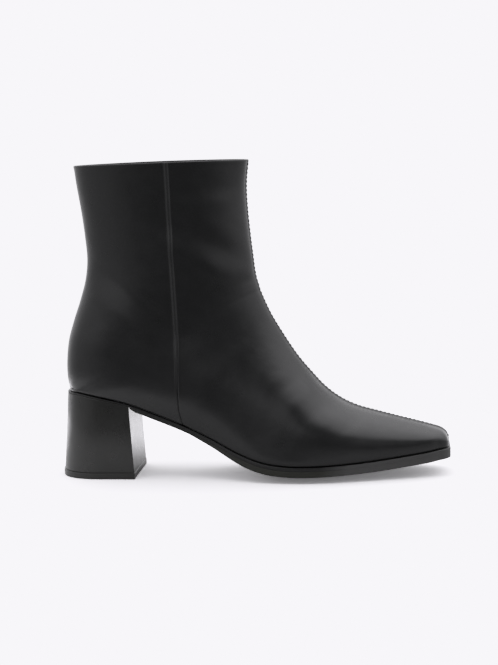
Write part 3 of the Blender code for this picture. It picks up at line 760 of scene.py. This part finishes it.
def build_layer(name, ring, top, bottom, soft_top, soft_bottom, material, node):
    """A sole layer between two heights, with rounded edges all round."""
    out = ring_out(ring)
    limit = SOFT_LIMIT * (top(ring[:, 0], ring[:, 1]) - bottom(ring[:, 0], ring[:, 1]))
    upper_soft = np.minimum(soft_top(ring[:, 0]), limit)
    lower_soft = np.minimum(soft_bottom(ring[:, 0]), limit)
    arc = np.linspace(0.0, 0.5 * math.pi, SOFT_STEPS)
    rings = []
    for height, soft, sign, angles in ((top, upper_soft, -1.0, arc), (bottom, lower_soft, 1.0, arc[::-1])):
        for angle in angles:
            plan = ring - out * (soft * (1.0 - math.sin(angle)))[:, None]
            level = height(plan[:, 0], plan[:, 1]) + sign * soft * (1.0 - math.cos(angle))
            rings.append(np.column_stack([plan, level]))
    count = len(ring)
    points = [np.vstack(rings)]
    faces = ring_faces(count, len(rings))
    first = len(rings) * count
    half = count // 2
    share = np.linspace(0.0, 1.0, SOLE_STEPS + 1)[None, :, None]
    for plan, height in ((rings[0][:, :2], top), (rings[-1][:, :2], bottom)):
        lateral, medial = plan[:half + 1], plan[np.arange(count, half - 1, -1) % count]
        flat = lateral[:, None, :] * (1.0 - share) + medial[:, None, :] * share
        grid = np.concatenate([flat, height(flat[..., 0], flat[..., 1])[..., None]], axis=2)
        points.append(grid.reshape(-1, 3))
        index = first + np.arange(grid.shape[0] * grid.shape[1]).reshape(grid.shape[:2])
        corners = (index[:-1, :-1], index[:-1, 1:], index[1:, 1:], index[1:, :-1])
        faces += np.stack(corners, axis=-1).reshape(-1, 4).tolist()
        first += grid.shape[0] * grid.shape[1]
    piece = finish_mesh(name, np.vstack(points), faces, material)
    return place_piece(piece, node)


def even(size):
    """The same size all along an outline."""
    return lambda x: np.full(len(x), size)


def joint_soft(x):
    """Softness of the joint between the two sole layers, which is buffed away towards the toe."""
    return np.interp(x, JOINT_FADE, (JOINT_SOFT, JOINT_BUFFED_SOFT))


def plain_margin(x):
    return sole_value(x, "margin")


def rand_margin(x):
    """Sole margin, with the thin rand that stands out at the heel back."""
    return plain_margin(x) + RAND_OUT * (1.0 - soft_step(x, *RAND_FADE))


def sock_top(x, y):
    return bed_height(x, y) + INSOLE_THICK


def build_soles(insole_mat, midsole_mat, outsole_mat):
    feather = feather_ring()
    inset = moved_ring(feather, even(-INSOLE_INSET))
    inset[:, 0] = np.minimum(inset[:, 0], along_to_x(INSOLE_TOE_ALONG))
    build_layer("insole_sock", inset, sock_top, bed_height, even(SOCK_SOFT_TOP), even(SOCK_SOFT_BOTTOM),
                insole_mat, "insole")
    build_layer("midsole_edge", moved_ring(feather, rand_margin), midsole_top, midsole_bottom,
                even(EDGE_SOFT), joint_soft, midsole_mat, "midsole")
    start = SECTIONS[BREAST][BASE_X] + OUTSOLE_START
    forefoot = cut_ring(moved_ring(feather, plain_margin), start)
    build_layer("outsole_edge", forefoot, outsole_top, outsole_bottom, joint_soft, even(EDGE_SOFT),
                outsole_mat, "outsole")


# Heel
def d_ring(back, breast, half_at):
    """A heel outline: lateral side from its rounded back, straight breast, then the medial side."""
    angle = np.linspace(0.0, 0.5 * math.pi, HEEL_POINTS)
    x = back + (breast - back) * (1.0 - np.cos(angle))
    lateral = np.column_stack([x, -half_at(x, -1)])
    medial = np.column_stack([x, half_at(x, 1)])
    steps = np.linspace(0.0, 1.0, BREAST_POINTS)[1:-1, None]
    front = lateral[-1] * (1.0 - steps) + medial[-1] * steps
    return np.vstack([lateral, front, medial[:0:-1]])


def tread_half(back, half):
    return lambda x, side: half * rounded_back(x, back, back + half)


def build_block(name, lower, upper, lower_z, upper_z, levels, material, node, bevel):
    """A heel piece between two outlines with the same count of points, with softened edges."""
    rings = []
    for share in np.linspace(0.0, 1.0, levels):
        plan = lower * (1.0 - share) + upper * share
        height = lower_z(lower) * (1.0 - share) + upper_z(upper) * share
        rings.append(np.column_stack([plan, height]))
    count = len(lower)
    faces = ring_faces(count, levels)
    faces.append(tuple(range(count))[::-1])
    faces.append(tuple((levels - 1) * count + i for i in range(count)))
    piece = finish_mesh(name, np.vstack(rings), faces, material, HEEL_SHARP_ANGLE)
    soft = piece.modifiers.new("soft_edges", "BEVEL")
    soft.width = bevel * MM
    soft.segments = BEVEL_SEGMENTS
    soft.limit_method = "ANGLE"
    soft.angle_limit = BEVEL_ANGLE
    soft.harden_normals = False
    return place_piece(piece, node)


def build_heel(heel_mat, lift_mat):
    seat = moved_ring(feather_ring(), lambda x: plain_margin(x) + HEEL_TOP_OUT)
    back = seat[:, 0].min()
    seat_lines = {}
    for side in SIDES:
        line = seat[np.sign(seat[:, 1]) == side]
        seat_lines[side] = np.vstack([[(back, 0.0)], line[np.argsort(line[:, 0])]])

    def seat_half(x, side):
        return np.abs(np.interp(x, seat_lines[side][:, 0], seat_lines[side][:, 1]))

    def block_top(plan):
        return midsole_bottom(plan[:, 0], plan[:, 1]) - HEEL_GAP

    top = d_ring(back, SECTIONS[BREAST][BASE_X], seat_half)
    foot_back = HEEL_TREAD_BACK + LIFT_OUT_BACK
    foot = d_ring(foot_back, HEEL_TREAD_BREAST - LIFT_OUT_BREAST,
                  tread_half(foot_back, HEEL_TREAD_HALF - LIFT_OUT_SIDE))
    build_block("heel_block", foot, top, even(LIFT_THICK + HEEL_GAP), block_top, HEEL_LEVELS,
                heel_mat, "heel", HEEL_BEVEL)
    tread = d_ring(HEEL_TREAD_BACK, HEEL_TREAD_BREAST, tread_half(HEEL_TREAD_BACK, HEEL_TREAD_HALF))
    build_block("heel_lift", tread, tread, even(0.0), even(LIFT_THICK), LIFT_LEVELS,
                lift_mat, "top_lift", LIFT_BEVEL)


# Colours and finishes
LEATHER_COLOUR = (0.0058, 0.0062, 0.0066)
LEATHER_ROUGHNESS = 0.31
LEATHER_COAT = 0.18
LEATHER_COAT_ROUGHNESS = 0.22
RIM_AXIS = (-0.021, 0.0, 1.0)       # square to the collar's plane
RIM_HEIGHTS = (203.9, 205.0)        # the collar edge turns dull between these heights
RIM_ROUGHNESS = 0.75
LINING_COLOUR = (0.014, 0.0137, 0.0134)
LINING_ROUGHNESS = 0.75
SOCK_COLOUR = (0.040, 0.039, 0.038)
SOCK_ROUGHNESS = 0.7
THREAD_COLOUR = (0.004, 0.004, 0.004)
THREAD_ROUGHNESS = 0.95
MIDSOLE_COLOUR = (0.009, 0.009, 0.009)
MIDSOLE_ROUGHNESS = 0.42
OUTSOLE_COLOUR = (0.020, 0.021, 0.0155)
OUTSOLE_ROUGHNESS = 0.45
EDGE_TOE_COLOUR = (0.072, 0.072, 0.071)
EDGE_CHANGE = (143.0, 162.0)        # the sole edge turns grey between these places
HEEL_COLOUR = (0.0070, 0.0073, 0.0060)
HEEL_ROUGHNESS = 0.30
HEEL_COAT = 0.45
LIFT_COLOUR = (0.0085, 0.0088, 0.0074)
LIFT_ROUGHNESS = 0.34
LIFT_COAT = 0.4
HEEL_COAT_ROUGHNESS = 0.08
PLAIN_SPECULAR = 0.5
DULL_SPECULAR = 0.3
THREAD_SPECULAR = 0.12

# Bumps: kind, scale per metre, strength and depth in metres
LEATHER_BUMPS = (("cells", 1500.0, 0.05, 0.00012), ("noise", 620.0, 0.10, 0.00015),
                 ("noise", 75.0, 0.25, 0.0005), ("noise", 26.0, 0.5, 0.0016))
LINING_BUMPS = (("noise", 900.0, 0.25, 0.0002), ("cells", 700.0, 0.15, 0.0002))
SOCK_BUMPS = (("cells", 900.0, 0.2, 0.0002), ("noise", 140.0, 0.2, 0.0004))
THREAD_BUMPS = (("noise", 2600.0, 0.4, 0.0001),)
EDGE_BUMPS = (("noise", 700.0, 0.15, 0.0001), ("noise", 160.0, 0.15, 0.0003))
HEEL_BUMPS = (("noise", 900.0, 0.06, 0.0001), ("noise", 90.0, 0.06, 0.0004))
BUMP_DETAIL = 3.0

# Slow change of the roughness: scale per metre, and how far it goes down and up
LEATHER_VARY = (110.0, -0.04, 0.04)
EDGE_VARY = (240.0, -0.06, 0.08)
HEEL_VARY = (130.0, -0.04, 0.05)
VARY_DETAIL = 2.0
NOISE_SPAN = (0.3, 0.7)             # values that the noise mostly takes

ALONG_AXIS = (1.0, 0.0, 0.0)
ACROSS_AXIS = (0.0, 1.0, 0.0)
RISE_AXIS = (0.0, 0.0, 1.0)


# Shader nodes
def add_node(tree, kind, *given, operation=None):
    """A shader node. What is given goes to its first sockets in turn, as a link or as a value."""
    node = tree.nodes.new("ShaderNode" + kind)
    if operation is not None:
        node.operation = operation
    for socket, value in zip(node.inputs, given):
        if isinstance(value, bpy.types.NodeSocket):
            tree.links.new(value, socket)
        else:
            socket.default_value = value
    return node


def map_range(tree, value, span, results=(0.0, 1.0), smooth="LINEAR"):
    """A number carried over from one span to another."""
    node = add_node(tree, "MapRange", value, *span, *results)
    node.interpolation_type = smooth
    return node.outputs["Result"]


def facing(tree, vector, axis):
    """How far a vector reaches along an axis."""
    return add_node(tree, "VectorMath", vector, axis, operation="DOT_PRODUCT").outputs["Value"]


def joined(tree, first, second, operation):
    """One number from two."""
    return add_node(tree, "Math", first, second, operation=operation).outputs["Value"]


def mixed(tree, share, first, second):
    """One shader that turns into another."""
    return add_node(tree, "MixShader", share, first, second).outputs["Shader"]


# Materials
def new_material(name, colour, roughness, specular=PLAIN_SPECULAR):
    made = bpy.data.materials.new(name)
    made.use_nodes = True
    shader = made.node_tree.nodes["Principled BSDF"]
    shader.inputs["Base Color"].default_value = (*colour, 1.0)
    shader.inputs["Roughness"].default_value = roughness
    shader.inputs["Specular IOR Level"].default_value = specular
    return made, made.node_tree, shader


def add_bump(tree, shader, layers):
    """A chain of bumps from procedural textures. Gives the place on the piece that they follow."""
    place = add_node(tree, "TexCoord").outputs["Object"]
    last = None
    for kind, scale, strength, depth in layers:
        if kind == "cells":
            texture = add_node(tree, "TexVoronoi", place)
            texture.feature = "DISTANCE_TO_EDGE"
            value = texture.outputs["Distance"]
        else:
            texture = add_node(tree, "TexNoise", place)
            texture.inputs["Detail"].default_value = BUMP_DETAIL
            value = texture.outputs["Fac"]
        texture.inputs["Scale"].default_value = scale
        bump = add_node(tree, "Bump")
        bump.inputs["Strength"].default_value = strength
        bump.inputs["Distance"].default_value = depth
        tree.links.new(value, bump.inputs["Height"])
        if last is not None:
            tree.links.new(last.outputs["Normal"], bump.inputs["Normal"])
        last = bump
    tree.links.new(last.outputs["Normal"], shader.inputs["Normal"])
    return place


def varied(tree, place, roughness, change):
    """A roughness that changes slowly over the surface."""
    scale, down, up = change
    noise = add_node(tree, "TexNoise", place)
    noise.inputs["Scale"].default_value = scale
    noise.inputs["Detail"].default_value = VARY_DETAIL
    return map_range(tree, noise.outputs["Fac"], NOISE_SPAN, (roughness + down, roughness + up))


def leather_material():
    """Polished leather, dull on the collar edge."""
    made, tree, shader = new_material("black_leather", LEATHER_COLOUR, LEATHER_ROUGHNESS)
    shader.inputs["Coat Weight"].default_value = LEATHER_COAT
    shader.inputs["Coat Roughness"].default_value = LEATHER_COAT_ROUGHNESS
    place = add_bump(tree, shader, LEATHER_BUMPS)
    rise = facing(tree, place, RIM_AXIS)
    rim = map_range(tree, rise, (RIM_HEIGHTS[0] * MM, RIM_HEIGHTS[1] * MM), (0.0, RIM_ROUGHNESS))
    rougher = joined(tree, varied(tree, place, LEATHER_ROUGHNESS, LEATHER_VARY), rim, "MAXIMUM")
    tree.links.new(rougher, shader.inputs["Roughness"])
    return made


def dull_material(name, colour, roughness, specular, bumps):
    made, tree, shader = new_material(name, colour, roughness, specular)
    add_bump(tree, shader, bumps)
    return made


def edge_material(name, waist_colour, roughness):
    """Buffed sole edge, whose colour changes from the waist to the toe."""
    made, tree, shader = new_material(name, waist_colour, roughness)
    place = add_bump(tree, shader, EDGE_BUMPS)
    tree.links.new(varied(tree, place, roughness, EDGE_VARY), shader.inputs["Roughness"])
    along = facing(tree, place, ALONG_AXIS)
    ramp = add_node(tree, "ValToRGB", map_range(tree, along, (EDGE_CHANGE[0] * MM, EDGE_CHANGE[1] * MM)))
    ramp.color_ramp.elements[0].color = (*waist_colour, 1.0)
    ramp.color_ramp.elements[1].color = (*EDGE_TOE_COLOUR, 1.0)
    tree.links.new(ramp.outputs["Color"], shader.inputs["Base Color"])
    return made


def heel_material(name, colour, roughness, coat):
    made, tree, shader = new_material(name, colour, roughness)
    shader.inputs["Coat Weight"].default_value = coat
    shader.inputs["Coat Roughness"].default_value = HEEL_COAT_ROUGHNESS
    place = add_bump(tree, shader, HEEL_BUMPS)
    tree.links.new(varied(tree, place, roughness, HEEL_VARY), shader.inputs["Roughness"])
    return made


# Camera, floor and light
CAMERA_TARGET = Vector((96.0, 0.0, 92.75))
CAMERA_DISTANCE = 1100.0
CAMERA_AZIMUTH = math.radians(5.04)
CAMERA_ELEVATION = math.radians(6.89)
CAMERA_ROLL = math.radians(-1.0)
CAMERA_CLIP = (0.01, 100.0)
PIXELS_PER_MM = 1.52
IMAGE_LONG_SIDE = 665.0
SENSOR = 36.0
PAPER_WHITE = (0.930, 0.922, 0.947)
TONE_RANGE = 2.0            # light that comes out as paper white
TONE_BEND = 0.9
TONE_PLACES = (0.02, 0.05, 0.1, 0.2, 0.35, 0.5, 0.7, 0.85)
FLOOR_SEGMENTS = 96
FLOOR_RADIUS = 6.0
FLOOR_SHADE_TONES = (0.86, 0.55)              # as the boot mirrors it, beside the heel and beside the toe; darker beside the toe as painted shade
FLOOR_SIDES = (-0.02, 0.12)
FLOOR_PAINTED_LIGHT = (2.32, 2.3, 2.34)      # painted light: the floor gives back more than twice the light that falls on it, which washes it out
FLOOR_STRETCH = 1.4
FLOOR_FADE = (0.165, 0.25)
# painted light: the floor glows to lift its shadows, though it is no lamp
FLOOR_GLOW = 0.14
FLOOR_CENTRE = (-0.015, 0.05, -0.0002)
FLOOR_BEHIND = (0.0, 0.1)               # painted light: behind the boot the floor is as bright as the paper for the boot too, and lights its heel breast and back

# Light of the studio. Steps hold a place along an axis, from -1 to 1, and the light that comes from there
DEPTH_AXIS = (-0.2, 1.0, -0.25)         # from the camera's side to the backdrop
DEPTH_STEPS = ((-1.0, 0.13), (-0.9, 0.155), (-0.8, 0.2), (-0.66, 0.3), (-0.5, 0.41), (-0.2, 0.44),
               (0.2, 0.44), (0.4, 0.46), (0.8, 0.66), (0.94, 1.0))
RISE_STEPS = ((-0.22, 0.0), (-0.1, 0.01), (0.0, 0.03), (0.12, 0.05), (0.4, 0.05), (0.6, 0.02), (1.0, 0.0))
DOME_AXIS = (0.1, 0.15, 0.98)
DOME_RANGE = (0.47, 1.0)
DOME_LIGHT = 1.42
HEEL_WINDOW_SIDES = ((-1.0, 0.1), (-0.75, 0.5), (-0.5, 1.0), (-0.12, 1.0), (0.0, 0.0))
HEEL_WINDOW_STEPS = ((0.1, 0.0), (0.22, 0.45), (0.6, 0.45), (0.8, 0.0))
TOE_WINDOW_SIDES = ((0.5, 0.0), (0.8, 1.0))
TOE_WINDOW_STEPS = ((-0.2, 0.0), (0.0, 0.14), (0.2, 0.44), (0.36, 0.44), (0.5, 0.36), (0.75, 0.15),
                    (0.9, 0.0))
BACKDROP_RANGE = (0.86, 0.99)
BACKDROP_LIGHT = 1.0
WHITE = (1.0, 1.0, 1.0, 1.0)


def build_camera():
    back = Vector((math.sin(CAMERA_AZIMUTH) * math.cos(CAMERA_ELEVATION),
                   -math.cos(CAMERA_AZIMUTH) * math.cos(CAMERA_ELEVATION), math.sin(CAMERA_ELEVATION)))
    level = Vector((0.0, 0.0, 1.0)).cross(back).normalized()
    steep = back.cross(level)
    right = level * math.cos(CAMERA_ROLL) + steep * math.sin(CAMERA_ROLL)
    up = steep * math.cos(CAMERA_ROLL) - level * math.sin(CAMERA_ROLL)
    data = bpy.data.cameras.new("camera")
    data.sensor_width = SENSOR
    data.lens = SENSOR * PIXELS_PER_MM * CAMERA_DISTANCE / IMAGE_LONG_SIDE
    data.clip_start, data.clip_end = CAMERA_CLIP
    camera = bpy.data.objects.new("camera", data)
    bpy.context.scene.collection.objects.link(camera)
    matrix = Matrix((right, up, back)).transposed().to_4x4()
    matrix.translation = (CAMERA_TARGET + back * CAMERA_DISTANCE) * MM
    camera.matrix_world = matrix
    bpy.context.scene.camera = camera


def build_floor():
    """A round pale floor that fades into the backdrop, with painted light and painted shade."""
    shape = bmesh.new()
    bmesh.ops.create_circle(shape, cap_ends=True, segments=FLOOR_SEGMENTS, radius=FLOOR_RADIUS)
    mesh = bpy.data.meshes.new("floor")
    shape.to_mesh(mesh)
    shape.free()
    made = bpy.data.materials.new("pale_floor")
    made.use_nodes = True
    tree = made.node_tree
    tree.nodes.clear()
    place = add_node(tree, "TexCoord").outputs["Object"]
    # painted shade: the floor that the boot mirrors darkens from the heel towards the toe
    tone = map_range(tree, facing(tree, place, ALONG_AXIS), FLOOR_SIDES, FLOOR_SHADE_TONES)
    floor_with_painted_shade = add_node(tree, "BsdfDiffuse", tone).outputs["BSDF"]
    # painted light: an over-bright floor with a glow, seen straight on and behind the boot
    overbright_floor = add_node(tree, "BsdfDiffuse", (*FLOOR_PAINTED_LIGHT, 1.0)).outputs["BSDF"]
    glow = add_node(tree, "Emission", WHITE, FLOOR_GLOW).outputs["Emission"]
    painted_floor_light = add_node(tree, "AddShader", overbright_floor, glow).outputs["Shader"]
    seen = add_node(tree, "LightPath").outputs["Is Camera Ray"]
    # painted light: behind the boot the boot also sees the over-bright glowing floor
    behind = map_range(tree, facing(tree, place, ACROSS_AXIS), FLOOR_BEHIND)
    paper = mixed(tree, joined(tree, seen, behind, "MAXIMUM"), floor_with_painted_shade, painted_floor_light)
    squeezed = add_node(tree, "VectorMath", place, (1.0 / FLOOR_STRETCH, 1.0, 1.0), operation="MULTIPLY")
    reach = add_node(tree, "VectorMath", squeezed.outputs["Vector"], operation="LENGTH").outputs["Value"]
    fade = map_range(tree, reach, FLOOR_FADE, smooth="SMOOTHSTEP")
    clear = add_node(tree, "BsdfTransparent").outputs["BSDF"]
    add_node(tree, "OutputMaterial", mixed(tree, fade, paper, clear))
    mesh.materials.append(made)
    floor = bpy.data.objects.new("floor", mesh)
    floor.location = FLOOR_CENTRE
    bpy.context.scene.collection.objects.link(floor)


def build_light():
    """Pale studio, dark on the camera's side, with two low windows and a soft bright dome overhead."""
    scene = bpy.context.scene
    scene.view_settings.view_transform = "Standard"
    world = bpy.data.worlds.new("studio")
    scene.world = world
    world.use_nodes = True
    tree = world.node_tree
    tree.nodes.clear()
    place = add_node(tree, "TexCoord").outputs["Generated"]

    def soft(axis, span, light):
        return map_range(tree, facing(tree, place, axis), span, (0.0, light), "SMOOTHSTEP")

    def stepped(axis, chosen):
        ramp = add_node(tree, "ValToRGB", map_range(tree, facing(tree, place, axis), (-1.0, 1.0)))
        steps = ramp.color_ramp.elements
        while len(steps) < len(chosen):
            steps.new(0.5)
        for step, (reach, light) in zip(steps, chosen):
            step.position = 0.5 + 0.5 * reach
            step.color = (light, light, light, 1.0)
        return ramp.outputs["Color"]

    def window(sides, steps):
        return joined(tree, stepped(ALONG_AXIS, sides), stepped(RISE_AXIS, steps), "MULTIPLY")

    light = joined(tree, stepped(DEPTH_AXIS, DEPTH_STEPS), stepped(RISE_AXIS, RISE_STEPS), "ADD")
    for added in (soft(ACROSS_AXIS, BACKDROP_RANGE, BACKDROP_LIGHT), soft(DOME_AXIS, DOME_RANGE, DOME_LIGHT),
                  window(HEEL_WINDOW_SIDES, HEEL_WINDOW_STEPS), window(TOE_WINDOW_SIDES, TOE_WINDOW_STEPS)):
        light = joined(tree, light, added, "ADD")
    studio = add_node(tree, "Background", WHITE, light).outputs["Background"]
    paper = add_node(tree, "Background", WHITE, TONE_RANGE).outputs["Background"]
    seen = add_node(tree, "LightPath").outputs["Is Camera Ray"]
    add_node(tree, "OutputWorld", mixed(tree, seen, studio, paper))


def build_tone():
    """A soft shoulder like a camera's, so that the bright paper ends at the photo's paper white."""
    scene = bpy.context.scene
    scene.use_nodes = True
    tree = scene.node_tree
    tree.nodes.clear()
    picture = tree.nodes.new("CompositorNodeRLayers")
    tone = tree.nodes.new("CompositorNodeCurveRGB")
    out = tree.nodes.new("CompositorNodeComposite")
    tone.inputs["White Level"].default_value = (TONE_RANGE, TONE_RANGE, TONE_RANGE, 1.0)
    full = 1.0 - math.exp(-TONE_BEND * TONE_RANGE)
    for line, white in zip(tone.mapping.curves, PAPER_WHITE):
        line.points[1].location = (1.0, white)
        for share in TONE_PLACES:
            bent = (1.0 - math.exp(-TONE_BEND * TONE_RANGE * share)) / full
            line.points.new(share, white * bent)
    tone.mapping.extend = "HORIZONTAL"
    tone.mapping.update()
    tree.links.new(picture.outputs["Image"], tone.inputs["Image"])
    tree.links.new(tone.outputs["Image"], out.inputs["Image"])


SEAM_TURNS = {side: seam_turns(PLACES, side) for side in SIDES}
SEAM_LINES = {side: seam_line(side) for side in SIDES}
FEATHER_LINES = {side: feather_line(side) for side in SIDES}
CREST_LINE = crest_line()

build_camera()
build_floor()
build_light()
build_tone()
leather = leather_material()
build_quarter(leather)
for chosen_side in SIDES:
    build_front(chosen_side, leather)
build_stitches(dull_material("black_thread", THREAD_COLOUR, THREAD_ROUGHNESS, THREAD_SPECULAR, THREAD_BUMPS))
build_lining(dull_material("lining_leather", LINING_COLOUR, LINING_ROUGHNESS, DULL_SPECULAR, LINING_BUMPS))
build_soles(dull_material("sock_leather", SOCK_COLOUR, SOCK_ROUGHNESS, DULL_SPECULAR, SOCK_BUMPS),
            edge_material("midsole_edge", MIDSOLE_COLOUR, MIDSOLE_ROUGHNESS),
            edge_material("outsole_edge", OUTSOLE_COLOUR, OUTSOLE_ROUGHNESS))
build_heel(heel_material("satin_heel", HEEL_COLOUR, HEEL_ROUGHNESS, HEEL_COAT),
           heel_material("lift_rubber", LIFT_COLOUR, LIFT_ROUGHNESS, LIFT_COAT))
